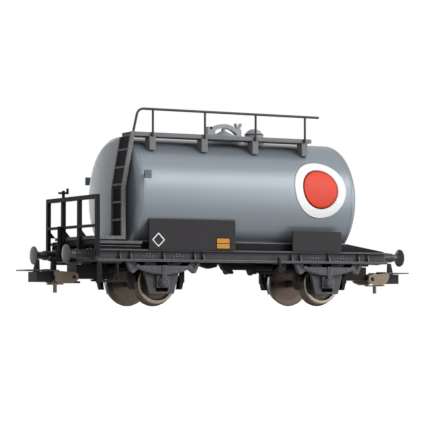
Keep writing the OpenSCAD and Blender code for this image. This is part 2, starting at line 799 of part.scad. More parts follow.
module coupler_loop(end) {
    // Sheet-metal loop: two side plates, a flat frame in front and a trip pin
    tip = frame_half + loop_reach;
    front = frame_half + 7.3;
    bar_w = 1;
    corner = 1.2;
    web_x = [frame_half + 4.8, frame_half + 5.7];
    web_t = 0.35;
    plate_low = axle_z - 0.3;
    pin_bottom = axle_z - 2.65;
    eye_r = 1.25;
    color(bronze) at_end(end) {
        for (side = [-1, 1]) on_side(side) difference() {
            side_plate(plate_in, loop_w / 2) {
                translate([loop_pivot, loop_pivot_z]) circle(r = eye_r);
                polygon([[loop_pivot, loop_pivot_z + eye_r], [front - 1.4, loop_z],
                    [front - 1.2, loop_z + loop_t], [front, loop_z + loop_t],
                    [front, loop_z - 1], [front - 0.4, loop_z - 2],
                    [front - 1.1, loop_z - 2.8], [front - 2, plate_low],
                    [loop_pivot + 0.8, plate_low], [loop_pivot, loop_pivot_z - eye_r]]);
            }
            along_y(plate_in - 1, loop_w, trunnion_r + run_gap, loop_pivot, loop_pivot_z);
        }
        translate([0, 0, loop_z]) linear_extrude(height = loop_t) difference() {
            polygon([[front - 1.2, -loop_w / 2], [tip - corner, -loop_w / 2],
                [tip, -loop_w / 2 + corner], [tip, loop_w / 2 - corner],
                [tip - corner, loop_w / 2], [front - 1.2, loop_w / 2]]);
            translate([front - 2, -plate_in]) square([tip - bar_w - front + 2, 2 * plate_in]);
        }
        block(web_x, [-loop_w / 2, loop_w / 2], [plate_low - web_t, plate_low]);
        translate([(web_x[0] + web_x[1]) / 2, 0, pin_bottom])
            cylinder(r = 0.5, h = plate_low - pin_bottom - 0.1);
    }
}

tank_barrel();
tank_end(-1);  // tank_end_left
tank_end(1);  // tank_end_right
tank_lamp_irons();
manhole_lid();
manhole_clamp();
valve_dome();
walkway_deck();
walkway_brackets();
walkway_posts();
walkway_handrail();
ladder();
solebar(-1);  // solebar_near
solebar(1);  // solebar_far
headstock(-1);  // headstock_left
headstock(1);  // headstock_right
center_sill();
cross_members();
tank_bearers();
tank_saddles();
bearer_braces();
platform_floor();
platform_side_bars();
platform_cross_bars();
platform_railing();
brake_spindle();
side_steps();
drawhooks();
buffer(-1, -1);  // buffer_left_near
buffer(-1, 1);  // buffer_left_far
buffer(1, -1);  // buffer_right_near
buffer(1, 1);  // buffer_right_far
axle_guard(-1, -1);  // axle_guard_left_near
axle_guard(-1, 1);  // axle_guard_left_far
axle_guard(1, -1);  // axle_guard_right_near
axle_guard(1, 1);  // axle_guard_right_far
brake_gear(-1);  // brake_gear_left
brake_gear(1);  // brake_gear_right
brake_cylinder();
changeover_levers();
boards(-1);  // boards_near
boards(1);  // boards_far
axle(-1);  // axle_left
wheels(-1);  // wheels_left
axle(1);  // axle_right
wheels(1);  // wheels_right
coupler_pivots();
coupler_shank(-1);  // coupler_shank_left
coupler_head(-1);  // coupler_head_left
coupler_loop(-1);  // coupler_loop_left
coupler_shank(1);  // coupler_shank_right
coupler_head(1);  // coupler_head_right
coupler_loop(1);  // coupler_loop_right
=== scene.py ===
"""Looks of the two-axle tank wagon, an H0 scale model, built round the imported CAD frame.

Metres; +X runs to the plain end, -Y is the side with the walkway, +Z is up.
"""
import json
import math

import bmesh
import bpy
from mathutils import Matrix, Vector


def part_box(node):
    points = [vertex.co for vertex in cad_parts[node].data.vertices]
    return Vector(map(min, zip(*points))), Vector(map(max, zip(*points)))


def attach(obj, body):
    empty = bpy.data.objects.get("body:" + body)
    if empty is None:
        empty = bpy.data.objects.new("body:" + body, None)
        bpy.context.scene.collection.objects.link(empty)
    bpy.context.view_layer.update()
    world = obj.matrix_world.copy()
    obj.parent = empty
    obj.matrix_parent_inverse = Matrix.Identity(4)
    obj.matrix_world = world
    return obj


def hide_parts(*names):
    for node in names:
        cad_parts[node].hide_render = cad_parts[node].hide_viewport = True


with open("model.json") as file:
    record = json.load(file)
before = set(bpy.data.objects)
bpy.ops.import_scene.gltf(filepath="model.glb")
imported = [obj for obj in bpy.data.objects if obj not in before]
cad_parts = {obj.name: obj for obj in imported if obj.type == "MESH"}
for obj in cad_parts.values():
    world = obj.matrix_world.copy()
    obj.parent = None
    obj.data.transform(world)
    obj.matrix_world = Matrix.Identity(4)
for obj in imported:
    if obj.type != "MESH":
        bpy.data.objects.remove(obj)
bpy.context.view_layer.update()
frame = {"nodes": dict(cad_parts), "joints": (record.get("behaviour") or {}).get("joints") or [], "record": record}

MM = 0.001
SIDES = (-1, 1)
ENDS = (("left", -1), ("right", 1))
HANDS = (("near", -1), ("far", 1))
# How far an added piece starts below the face that it sits on
SINK = 0.02 * MM


# ---------- Places taken from the frame ----------

def centre(node):
    low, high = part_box(node)
    return (low + high) / 2


barrel_low, barrel_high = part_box("tank_barrel")
TANK_X = (barrel_low.x, barrel_high.x)
TANK_R = (barrel_high.z - barrel_low.z) / 2
TANK_Z = (barrel_high.z + barrel_low.z) / 2
SOLE_LOW, SOLE_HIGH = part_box("solebar_far")
# The flanges touch the ground plane
FLANGE_R = centre("wheels_left").z


# ---------- Shader helpers ----------

def node(tree, kind, inputs=None, **settings):
    """Adds a shader node; inputs are plain values or sockets to link."""
    made = tree.nodes.new("ShaderNode" + kind)
    for key, value in settings.items():
        setattr(made, key, value)
    for key, value in (inputs or {}).items():
        if isinstance(value, bpy.types.NodeSocket):
            tree.links.new(value, made.inputs[key])
        else:
            made.inputs[key].default_value = value
    return made


def ramp(tree, value, start, end, low=0.0, high=1.0):
    """Maps start..end to low..high, clamped, and returns the socket."""
    return node(tree, "MapRange", {"Value": value, "From Min": start, "From Max": end,
                                   "To Min": low, "To Max": high}).outputs["Result"]


def maths(tree, operation, *values):
    """One sum or test of plain values or sockets, as its output socket."""
    return node(tree, "Math", dict(enumerate(values)), operation=operation).outputs[0]


def mix_colour(tree, factor, first, second):
    """Mixes two colours, each a plain value or a socket."""
    made = node(tree, "Mix", {"Factor": factor}, data_type="RGBA")
    for socket, value in ((made.inputs[6], first), (made.inputs[7], second)):
        if isinstance(value, bpy.types.NodeSocket):
            tree.links.new(value, socket)
        else:
            socket.default_value = value
    return made.outputs[2]


def object_place(tree):
    return node(tree, "TexCoord").outputs["Object"]


def linear(colour):
    """A display colour of three parts out of 255, as a linear one."""
    parts = [part / 255 for part in colour]
    return tuple(p / 12.92 if p <= 0.04045 else ((p + 0.055) / 1.055) ** 2.4 for p in parts)


def opaque(colour):
    """A display colour as a linear one with full alpha."""
    return (*linear(colour), 1)


def scaled(colour, factor):
    """A linear colour made darker or lighter, with full alpha."""
    return (*[min(part * factor, 1) for part in colour], 1)


# ---------- Materials ----------

DUST_COLOUR = (150, 145, 138)
BLACKENED = (44, 41, 40)
# Painted shade on the upright web of the platform's side bars
WEB_SHADE_BLACK = (9, 9, 10)
# Where no colour is given for them, the lighter edges (scuffing and painted highlight) are this much lighter
WEAR_AND_SHEEN_GAIN = 1.7
# Painted shade in hollows darkens towards this share of the base colour
SHADE_SHARE = 0.12
# Roughness varies by this much either way, with the grain
GLOSS_SPREAD = 0.06
RELIEF_DEPTH = 0.01 * MM
# Spans over which lighter edges, dust and painted shade change: a cosine, an upward share and an open share
EDGE_SPAN = (0.995, 0.80)
UPWARD_SPAN = (0.2, 1.0)
OPEN_SPAN = (0.25, 0.85)
# Part of the grain's range over which the gloss changes
GRAIN_SPAN = (0.3, 0.7)


def wear_and_sheen_edges(tree, tone, rounded, wear_and_sheen, colour):
    """Makes edges lighter, which is where the rounded normal leaves the flat one: scuffing and painted highlight.
    """
    flat = node(tree, "NewGeometry").outputs["Normal"]
    along = node(tree, "VectorMath", {0: rounded, 1: flat}, operation="DOT_PRODUCT")
    edge_wear_and_sheen = ramp(tree, along.outputs["Value"], *EDGE_SPAN, 0.0, wear_and_sheen)
    return mix_colour(tree, edge_wear_and_sheen, tone, opaque(colour))


def dusted(tree, tone, patches, dust):
    """Lays patchy dust on what faces up."""
    normal = node(tree, "SeparateXYZ", {0: node(tree, "NewGeometry").outputs["Normal"]})
    upward = ramp(tree, normal.outputs["Z"], *UPWARD_SPAN, 0.0, dust)
    return mix_colour(tree, maths(tree, "MULTIPLY", upward, patches), tone, opaque(DUST_COLOUR))


def painted_shade_in_hollows(tree, tone, base, painted_shade, reach):
    """Painted shade: darkens corners and hollows, where shade falls; reach is in millimetres."""
    open_sky = node(tree, "AmbientOcclusion", {"Distance": reach * MM}, samples=6)
    shade_amount = ramp(tree, open_sky.outputs["AO"], *OPEN_SPAN, painted_shade, 0.0)
    return mix_colour(tree, shade_amount, tone, scaled(base, SHADE_SHARE))


def finish_of(name, colour, rough=0.5, specular=0.5, metal=0.0, mottle=0.10, patch=6.0,
              grain=0.25, bump=0.3, wear_and_sheen=0.0, wear_and_sheen_colour=None, edge=0.14, stretch=(1, 1, 1),
              dust=0.0, painted_shade=0.0, shade_reach=3.0):
    """A moulded or painted surface: soft patches of tone, fine grain in gloss and relief,
    and rounded edges. Lighter edges (scuffing and painted highlight), dust and painted shade
    in hollows are left out where they are zero. patch, grain, edge and the painted shade's
    reach are in millimetres."""
    material = bpy.data.materials.new(name)
    material.use_nodes = True
    tree = material.node_tree
    shader = tree.nodes["Principled BSDF"]
    base = linear(colour)
    place = node(tree, "Mapping", {"Vector": object_place(tree), "Scale": stretch})
    place = place.outputs["Vector"]
    patches = node(tree, "TexNoise", {"Vector": place, "Scale": 1 / (patch * MM), "Detail": 4.0})
    patches = patches.outputs["Fac"]
    grains = node(tree, "TexNoise", {"Vector": place, "Scale": 1 / (grain * MM), "Detail": 2.0})
    grains = grains.outputs["Fac"]
    rounded = node(tree, "Bevel", {"Radius": edge * MM}, samples=4).outputs["Normal"]
    tone = mix_colour(tree, patches, scaled(base, 1 - mottle), scaled(base, 1 + mottle))
    # Lighter edges: scuffing and painted highlight
    if wear_and_sheen:
        lighter = wear_and_sheen_colour or [part * WEAR_AND_SHEEN_GAIN for part in colour]
        tone = wear_and_sheen_edges(tree, tone, rounded, wear_and_sheen, lighter)
    if dust:
        tone = dusted(tree, tone, patches, dust)
    # Painted shade in corners and hollows
    if painted_shade:
        tone = painted_shade_in_hollows(tree, tone, base, painted_shade, shade_reach)
    gloss = ramp(tree, grains, *GRAIN_SPAN, rough - GLOSS_SPREAD, rough + GLOSS_SPREAD)
    relief = node(tree, "Bump", {"Strength": bump, "Distance": RELIEF_DEPTH, "Height": grains,
                                 "Normal": rounded})
    tree.links.new(tone, shader.inputs["Base Color"])
    tree.links.new(gloss, shader.inputs["Roughness"])
    tree.links.new(relief.outputs["Normal"], shader.inputs["Normal"])
    shader.inputs["Metallic"].default_value = metal
    shader.inputs["Specular IOR Level"].default_value = specular
    return material


def parts_of(material):
    """Tree, shader and base tone of a finish, and a socket with a point's height."""
    tree = material.node_tree
    shader = tree.nodes["Principled BSDF"]
    tone = shader.inputs["Base Color"].links[0].from_socket
    height = node(tree, "SeparateXYZ", {0: object_place(tree)}).outputs["Z"]
    return tree, shader, tone, height


def loop_finish():
    """Browned metal, blackened at the top of the loop, where its thin front frame is."""
    metal = 0.75
    # Depths below the top at which the blackening starts and is full
    black_from, black_to = 0.36 * MM, 0.30 * MM
    material = finish_of("loop_metal", (92, 81, 69), rough=0.36, metal=metal, mottle=0.18,
                         patch=1.6, grain=0.12, wear_and_sheen=0.6, wear_and_sheen_colour=(200, 186, 164),
                         stretch=(0.5, 1, 1.6), painted_shade=0.5, shade_reach=1.5)
    tree, shader, tone, height = parts_of(material)
    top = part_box("coupler_loop_left")[1].z
    black = ramp(tree, height, top - black_from, top - black_to)
    tree.links.new(mix_colour(tree, black, tone, opaque(BLACKENED)), shader.inputs["Base Color"])
    tree.links.new(ramp(tree, black, 0.0, 1.0, metal, 0.0), shader.inputs["Metallic"])
    return material


def side_bar_finish():
    """The bars beside the platform: grey flange and ledge, with painted shade that makes the upright web between
    them black.
    """
    flange_h = 0.72 * MM
    ledge_rise, ledge_half = 0.8 * MM, 0.12 * MM
    material = finish_of("side_bar_grey", (104, 103, 106), rough=0.55, specular=0.1, mottle=0.12,
                         patch=3, wear_and_sheen=0.5, wear_and_sheen_colour=(140, 139, 143))
    tree, shader, tone, height = parts_of(material)
    low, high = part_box("platform_side_bars")
    flange = maths(tree, "GREATER_THAN", height, high.z - flange_h)
    ledge = maths(tree, "COMPARE", height, low.z + ledge_rise, ledge_half)
    grey = maths(tree, "MAXIMUM", flange, ledge)
    tree.links.new(mix_colour(tree, grey, opaque(WEB_SHADE_BLACK), tone), shader.inputs["Base Color"])
    return material


TANK_COLOUR = (126, 135, 142)
TANK_LOOK = {"rough": 0.38, "metal": 0.25, "mottle": 0.035, "patch": 14, "grain": 0.5,
             "bump": 0.12, "edge": 0.05}

# One finish for each material slot of the frame
MATERIALS = {
    "tank_paint": finish_of("tank_paint", TANK_COLOUR, painted_shade=0.22, shade_reach=2.0, **TANK_LOOK),
    "fittings_grey": finish_of("fittings_grey", (148, 153, 157), rough=0.46, mottle=0.07,
                               patch=2.5, wear_and_sheen=0.35, painted_shade=0.5, shade_reach=1.2),
    "deck_grey": finish_of("deck_grey", (126, 125, 128), rough=0.60, specular=0.15,
                           mottle=0.10, patch=3, wear_and_sheen=0.35, dust=0.25, painted_shade=0.5,
                           shade_reach=1.2),
    "wire_black": finish_of("wire_black", (50, 48, 48), rough=0.45, specular=0.35, mottle=0.12,
                            patch=2, wear_and_sheen=0.3, edge=0.05),
    # Strong light edges: a painted highlight along the ribs and flanges
    "frame_grey": finish_of("frame_grey", (84, 83, 87), rough=0.50, specular=0.12, mottle=0.16,
                            patch=3, wear_and_sheen=0.9, wear_and_sheen_colour=(176, 174, 178), edge=0.2,
                            dust=0.15, painted_shade=0.9, shade_reach=2.0),
    "frame_black": finish_of("frame_black", (38, 36, 39), rough=0.52, specular=0.06,
                             mottle=0.16, patch=3, wear_and_sheen=0.6, wear_and_sheen_colour=(104, 102, 106),
                             edge=0.2, dust=0.12, painted_shade=0.8, shade_reach=3.0),
    "buffer_black": finish_of("buffer_black", (68, 66, 67), rough=0.36, specular=0.35,
                              mottle=0.12, patch=2, wear_and_sheen=0.5, wear_and_sheen_colour=(140, 136, 132),
                              edge=0.12),
    "board_black": finish_of("board_black", (60, 58, 60), rough=0.46, specular=0.06,
                             mottle=0.07, patch=5, wear_and_sheen=0.4, wear_and_sheen_colour=(105, 104, 107)),
    "wheel_metal": finish_of("wheel_metal", (94, 82, 72), rough=0.42, specular=0.3, metal=0.4,
                             mottle=0.40, patch=0.9, grain=0.18, wear_and_sheen=0.35,
                             wear_and_sheen_colour=(130, 118, 104), painted_shade=0.8, shade_reach=3.5),
    "coupler_black": finish_of("coupler_black", (46, 44, 46), rough=0.50, specular=0.1,
                               mottle=0.14, patch=2, wear_and_sheen=0.5, wear_and_sheen_colour=(104, 103, 103),
                               painted_shade=0.5, shade_reach=1.5),
    "loop_metal": loop_finish(),
}

# Finishes for single nodes, for added pieces and for parts of a piece
TREAD = finish_of("tread_metal", (78, 69, 60), rough=0.30, metal=0.9, mottle=0.16, patch=1.5,
                  grain=0.10, bump=0.2, wear_and_sheen=0.6, wear_and_sheen_colour=(226, 216, 200), edge=0.1)
RIM = finish_of("rim_metal", (128, 119, 107), rough=0.28, metal=0.9, mottle=0.12, patch=1.5,
                grain=0.10, bump=0.2, wear_and_sheen=1.0, wear_and_sheen_colour=(236, 228, 214), edge=0.12)
PLUNGER = finish_of("plunger_metal", (62, 58, 56), rough=0.34, metal=0.3, mottle=0.1, patch=1)
# Near-black: painted shade in the axle guard slots and on the rigging boards; also a dark joint on the dome, the
# hinge pin ends and the lines on the orange plates
SHADOW_GAP = finish_of("gap_black", (14, 14, 15), rough=0.8, specular=0.05)
# Copy of the tank paint for the dished ends, with a little more painted shade, mostly round the ladder
TANK_END = finish_of("tank_end_paint", TANK_COLOUR, painted_shade=0.25, shade_reach=2.5, **TANK_LOOK)
LADDER = finish_of("ladder_grey", (126, 125, 128), rough=0.60, specular=0.12, mottle=0.10,
                   patch=3, wear_and_sheen=0.5, painted_shade=0.75, shade_reach=2.5)
SIDE_BAR = side_bar_finish()
SLEEVE = finish_of("sleeve_black", (32, 31, 32), rough=0.36, specular=0.35, mottle=0.12, patch=2,
                   wear_and_sheen=0.2, wear_and_sheen_colour=(110, 108, 106), edge=0.1)
IRON = finish_of("lamp_iron_grey", (106, 113, 119), rough=0.5, specular=0.2, mottle=0.05,
                 edge=0.08)
LADDER_SHADE = finish_of("ladder_shade_grey", (38, 37, 39), rough=0.7, specular=0.05)
# Lighter than the solebar that the rivets stand on: painted highlight on their heads
RIVET_LIT = finish_of("rivet_lit_grey", (126, 125, 130), rough=0.50, specular=0.15, wear_and_sheen=0.6,
                  wear_and_sheen_colour=(140, 139, 144), edge=0.1)
# Lighter than the axle guards, with strong light edges: painted highlight on the box covers, bolts and spring eyes
COVER_LIT = finish_of("cover_lit_grey", (100, 99, 103), rough=0.46, specular=0.2, wear_and_sheen=0.8,
                  wear_and_sheen_colour=(172, 170, 174), edge=0.12, painted_shade=0.5, shade_reach=1.0)
# Light grey: painted highlight along the top edge of each tank bearer
LIP_LIT = finish_of("lip_lit_grey", (112, 111, 115), rough=0.55, specular=0.15, mottle=0.12, patch=3)
PRINT_WHITE = finish_of("print_white", (250, 250, 249), rough=0.45, specular=0.25,
                        mottle=0.02, bump=0.08)
PRINT_RED = finish_of("print_red", (222, 66, 42), rough=0.45, specular=0.25,
                      mottle=0.04, bump=0.08)
PRINT_ORANGE = finish_of("print_orange", (205, 145, 62), rough=0.45, specular=0.2,
                         mottle=0.05, bump=0.08)

# Nodes whose finish isn't their slot's
OWN_FINISH = {"ladder": LADDER, "tank_lamp_irons": IRON, "platform_side_bars": SIDE_BAR,
              "side_steps": MATERIALS["frame_black"]}


def finish_frame_nodes():
    """Gives each node of the frame its finish; its shape and place stay as packed."""
    for part in frame["record"]["subparts"]:
        data = frame["nodes"][part["node"]].data
        data.materials.clear()
        data.materials.append(OWN_FINISH.get(part["node"], MATERIALS[part["material_slot"]]))


# ---------- Mesh helpers ----------

def piece(name, bm, finish, body="root", crease=32, bevel=0.0, stands_for=()):
    """Turns a bmesh into a named piece with its finish and body.
    crease is in degrees, bevel in millimetres."""
    bmesh.ops.recalc_face_normals(bm, faces=bm.faces[:])
    mesh = bpy.data.meshes.new(name)
    bm.to_mesh(mesh)
    bm.free()
    for one in finish if isinstance(finish, (list, tuple)) else [finish]:
        mesh.materials.append(one)
    mesh.shade_smooth()
    mesh.set_sharp_from_angle(angle=math.radians(crease))
    made = bpy.data.objects.new(name, mesh)
    bpy.context.scene.collection.objects.link(made)
    if bevel:
        soft = made.modifiers.new("soft_edges", "BEVEL")
        soft.width = bevel * MM
        soft.segments = 2
        soft.limit_method = "ANGLE"
    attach(made, body)
    if stands_for:
        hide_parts(*stands_for)
    return made


def facing(direction):
    """Matrix that takes +Z to a direction."""
    return Vector(direction).to_track_quat("Z", "Y").to_matrix().to_4x4()


def around(count, first=0.0):
    """Angles of equal steps round a circle, from a first one given in steps."""
    return [2 * math.pi * (k + first) / count for k in range(count)]


def arc(middle, radius, start, end, steps):
    """Points of an arc in the profile plane, in degrees."""
    turns = [math.radians(start + (end - start) * k / steps) for k in range(steps + 1)]
    return [(middle[0] + radius * math.cos(turn), middle[1] + radius * math.sin(turn))
            for turn in turns]


def add_block(bm, x, y, z):
    """A box given in metres by its two ends on each axis."""
    size = Vector((x[1] - x[0], y[1] - y[0], z[1] - z[0]))
    middle = Vector((x[1] + x[0], y[1] + y[0], z[1] + z[0])) / 2
    bmesh.ops.create_cube(bm, size=1, matrix=Matrix.Translation(middle) @ Matrix.Diagonal((*size, 1)))


def add_turned(bm, profile, place, steps=48, finish_from=None):
    """A turned solid: profile is (radius, height) pairs in metres from axis to axis, and place
    takes its axis from +Z. finish_from gives each profile step its material number."""
    on_axis = 1e-9
    rings = []
    for radius, height in profile:
        if radius < on_axis:
            points = [Vector((0, 0, height))]
        else:
            points = [Vector((radius * math.cos(turn), radius * math.sin(turn), height))
                      for turn in around(steps)]
        rings.append([bm.verts.new(place @ point) for point in points])
    for index, (low, high) in enumerate(zip(rings, rings[1:])):
        for k in range(steps):
            after = (k + 1) % steps
            ring = [low[k % len(low)], low[after % len(low)],
                    high[after % len(high)], high[k % len(high)]]
            corners = list(dict.fromkeys(ring))
            if len(corners) > 2:
                face = bm.faces.new(corners)
                face.material_index = finish_from[index] if finish_from else 0


def add_rod(bm, start, end, radius, steps=16):
    """A round rod between two points."""
    start, end = Vector(start), Vector(end)
    way = end - start
    place = Matrix.Translation(start) @ facing(way)
    add_turned(bm, [(0, 0), (radius, 0), (radius, way.length), (0, way.length)], place, steps)


def add_stud(bm, point, way, radius, height):
    """A domed rivet or bolt head on a face; way is the face's outward direction."""
    shoulder = (radius * 0.85, height * 0.6)
    place = Matrix.Translation(point) @ facing(way)
    add_turned(bm, [(0, 0), (radius, 0), shoulder, (0, height)], place, steps=10)


# ---------- Tank ----------

TANK_STEPS = 192
SEAM = 0.06 * MM


def tank_end_profile():
    """Half section of a dished end: knuckle and shallow dish, from the seam to the axis."""
    knuckle = 1.9 * MM
    knuckle_steps, dish_steps = 14, 20
    bulge = barrel_low.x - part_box("tank_end_left")[0].x
    knuckle_mid = (TANK_R - knuckle, 0)
    # The dish passes through the axis at the bulge and touches the knuckle
    dish = (bulge ** 2 - knuckle ** 2 + knuckle_mid[0] ** 2) / (2 * (bulge - knuckle))
    dish_mid = bulge - dish
    lean = math.asin(knuckle_mid[0] / (dish - knuckle))
    bend = arc(knuckle_mid, knuckle, 0, 90 - math.degrees(lean), knuckle_steps)
    turns = [lean * (1 - k / dish_steps) for k in range(1, dish_steps)]
    flat = [(dish * math.sin(turn), dish_mid + dish * math.cos(turn)) for turn in turns]
    return bend + flat + [(0, bulge)]


def build_tank_barrel():
    """Barrel as one smooth skin with a fine step at each seam."""
    bands = 12
    low, high = TANK_X
    profile = [(0, low + SEAM), (TANK_R - SEAM, low + SEAM), (TANK_R, low + 2 * SEAM)]
    profile += [(TANK_R, low + (high - low) * k / bands) for k in range(1, bands)]
    profile += [(TANK_R, high - 2 * SEAM), (TANK_R - SEAM, high - SEAM), (0, high - SEAM)]
    bm = bmesh.new()
    add_turned(bm, profile, Matrix.Translation((0, 0, TANK_Z)) @ facing((1, 0, 0)), TANK_STEPS)
    piece("tank_barrel_skin", bm, MATERIALS["tank_paint"],
          stands_for=["tank_barrel"])


def build_tank_end(name, end):
    """One dished end, which laps into the seam."""
    edge = TANK_X[1] if end > 0 else TANK_X[0]
    rim = [(0, -SEAM), (TANK_R - SEAM, -SEAM), (TANK_R - 0.2 * SEAM, 0.4 * SEAM)]
    bm = bmesh.new()
    add_turned(bm, rim + tank_end_profile()[1:],
               Matrix.Translation((edge, 0, TANK_Z)) @ facing((end, 0, 0)), TANK_STEPS)
    piece("tank_end_skin_" + name, bm, TANK_END, stands_for=["tank_end_" + name])


def build_roundels():
    """Plain red disc in a white ring on each flank, printed on the curve of the barrel."""
    middle_x = TANK_X[1] - 9.8 * MM
    middle_turn = math.radians(10.3)
    disc_r, ring_r = 5.4 * MM, 8.0 * MM
    skin_r = TANK_R + 0.02 * MM
    thickness = 0.03 * MM
    steps, rings = 96, 10
    bands = (("ring", disc_r, ring_r, PRINT_WHITE), ("disc", 0, disc_r, PRINT_RED))
    for hand, side in HANDS:
        for name, inner, outer, finish in bands:
            bm = bmesh.new()
            grid = []
            for radius in [inner + (outer - inner) * k / rings for k in range(rings + 1)]:
                row = []
                for angle in around(steps):
                    turn = middle_turn + radius * math.sin(angle) / TANK_R
                    row.append(bm.verts.new((middle_x + radius * math.cos(angle),
                                             side * skin_r * math.cos(turn),
                                             TANK_Z + skin_r * math.sin(turn))))
                grid.append(row)
            for low, high in zip(grid, grid[1:]):
                for k in range(steps):
                    after = (k + 1) % steps
                    bm.faces.new((low[k], low[after], high[after], high[k]))
            # The innermost row of the disc is one point
            bmesh.ops.remove_doubles(bm, verts=bm.verts[:], dist=0.0001 * MM)
            skin = piece(f"roundel_{name}_{hand}", bm, finish, crease=80)
            thick = skin.modifiers.new("print", "SOLIDIFY")
            thick.thickness = thickness
            thick.offset = 0


def build_manhole_bolts():
    """Ring of bolt heads on the rim of the manhole."""
    ring_r, ring_drop = 3.85 * MM, 2.05 * MM
    count, bolt = 16, 0.22 * MM
    low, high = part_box("manhole_lid")
    middle = (low + high) / 2
    bm = bmesh.new()
    for turn in around(count, 0.5):
        point = Vector((middle.x + ring_r * math.cos(turn), middle.y + ring_r * math.sin(turn),
                        high.z - ring_drop))
        add_stud(bm, point, (0, 0, 1), bolt, bolt)
    piece("manhole_bolts", bm, MATERIALS["fittings_grey"])


def build_manhole_hinge():
    """Ends of the hinge pin on both faces of the manhole clamp."""
    pin_r, proud = 0.34 * MM, 0.12 * MM
    low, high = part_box("manhole_clamp")
    # The hinge is at the clamp's low-X end
    x, z = low.x + 1.05 * MM, low.z + 3.6 * MM
    bm = bmesh.new()
    for side in SIDES:
        face = side * (high.y - SINK)
        add_rod(bm, (x, face, z), (x, face + side * proud, z), pin_r)
    piece("manhole_hinge_pin", bm, SHADOW_GAP)


def build_dome_rings():
    """Two thin rings round the valve dome: a bead at its foot and a dark line below its cap."""
    depth, proud, half_h = 0.2 * MM, 0.03 * MM, 0.09 * MM
    low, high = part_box("valve_dome")
    middle = (low + high) / 2
    dome_r = (high.x - low.x) / 2
    for name, drop, inset, finish in (("foot", 2.32 * MM, 0.0, MATERIALS["fittings_grey"]),
                                      ("cap", 1.62 * MM, 0.16 * MM, SHADOW_GAP)):
        z = high.z - drop
        inner, outer = dome_r - inset - depth, dome_r - inset + proud
        profile = [(inner, z - half_h), (outer, z - half_h), (outer, z + half_h), (inner, z + half_h)]
        bm = bmesh.new()
        add_turned(bm, profile + profile[:1], Matrix.Translation((middle.x, middle.y, 0)),
                   steps=64)
        piece(f"valve_dome_ring_{name}", bm, finish)


# ---------- Gratings ----------

GRATE_BAR = 0.3 * MM
GRATE_PITCH = 0.62 * MM


def add_grating(bm, low, high, rim, height):
    """Open grating between two corners: a rim, cross bars, and slots between them."""
    x, y, z = (low.x, high.x), (low.y, high.y), (high.z - height, high.z)
    add_block(bm, x, (y[0], y[0] + rim), z)
    add_block(bm, x, (y[1] - rim, y[1]), z)
    inner = (y[0] + rim, y[1] - rim)
    add_block(bm, (x[0], x[0] + rim), inner, z)
    add_block(bm, (x[1] - rim, x[1]), inner, z)
    count = int((x[1] - x[0] - 2 * rim) / GRATE_PITCH)
    step = (x[1] - x[0] - 2 * rim) / count
    for k in range(count):
        left = x[0] + rim + (k + 0.5) * step - GRATE_BAR / 2
        add_block(bm, (left, left + GRATE_BAR), inner, z)
    middle = (y[0] + y[1]) / 2
    add_block(bm, (x[0] + rim, x[1] - rim), (middle - GRATE_BAR / 2, middle + GRATE_BAR / 2), z)


def build_platform_floor():
    """Platform: a solid tray with a slotted edge and a grating on top."""
    rim = 0.5 * MM
    top, foot, skin = 0.28 * MM, 0.26 * MM, 0.26 * MM
    inset, foot_inset = 0.32 * MM, 1.0 * MM
    low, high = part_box("platform_floor")
    bm = bmesh.new()
    add_block(bm, (low.x + foot_inset, high.x - foot_inset),
              (low.y + foot_inset, high.y - foot_inset), (low.z, low.z + foot))
    add_block(bm, (low.x, high.x), (low.y, high.y), (low.z + foot, low.z + foot + skin))
    add_block(bm, (low.x + inset, high.x - inset), (low.y + inset, high.y - inset),
              (low.z + foot + skin, high.z - top))
    add_grating(bm, low, high, rim, top)
    # Posts that leave slots all round the edge
    post, pitch = 1.42 * MM, 1.85 * MM
    height = (low.z + foot + skin, high.z - top)
    for along, across in ((0, 1), (1, 0)):
        count = round((high[along] - low[along]) / pitch)
        step = (high[along] - low[along] - post) / count
        edges = ((low[across], low[across] + inset), (high[across] - inset, high[across]))
        for k in range(count + 1):
            start = low[along] + k * step
            for edge in edges:
                spans = {along: (start, start + post), across: edge}
                add_block(bm, spans[0], spans[1], height)
    piece("platform_grating", bm, MATERIALS["deck_grey"], bevel=0.03,
          stands_for=["platform_floor"])


def build_walkway_deck():
    """Walkway: a channel-edged plank with a grating on its upper face."""
    top, lip = 0.22 * MM, 0.5 * MM
    low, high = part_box("walkway_deck")
    bm = bmesh.new()
    add_block(bm, (low.x, high.x), (low.y, high.y), (low.z, high.z - 2 * top))
    for edge in ((low.y, low.y + lip), (high.y - lip, high.y)):
        add_block(bm, (low.x, high.x), edge, (high.z - 2 * top, high.z - top))
    add_grating(bm, low, high, lip, top)
    piece("walkway_grating", bm, MATERIALS["deck_grey"], bevel=0.03,
          stands_for=["walkway_deck"])


def build_ladder_shade():
    """Painted shade behind the rungs: dark faces, upright at first, then leaning with the ladder."""
    knee_z = TANK_Z + 1.8 * MM
    lean_reach = 2.65 * MM
    edge, thick = 0.54 * MM, 0.06 * MM
    lower_back, upper_back = 0.58 * MM, 0.2 * MM
    top_gap = 0.1 * MM
    low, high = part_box("ladder")
    deck_low, deck_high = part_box("walkway_deck")
    lean = lean_reach / (deck_high.z - knee_z)
    across = (low.y + edge, high.y - edge)
    bm = bmesh.new()
    corners = []
    for z in (knee_z, deck_low.z - top_gap):
        x = low.x + (z - knee_z) * lean + upper_back
        for step in (0, thick):
            for y in across:
                corners.append(bm.verts.new((x + step, y, z)))
    bmesh.ops.convex_hull(bm, input=corners)
    behind = low.x + lower_back
    add_block(bm, (behind, behind + thick), across, (low.z, knee_z))
    piece("ladder_shade", bm, LADDER_SHADE)


# ---------- Underframe details ----------

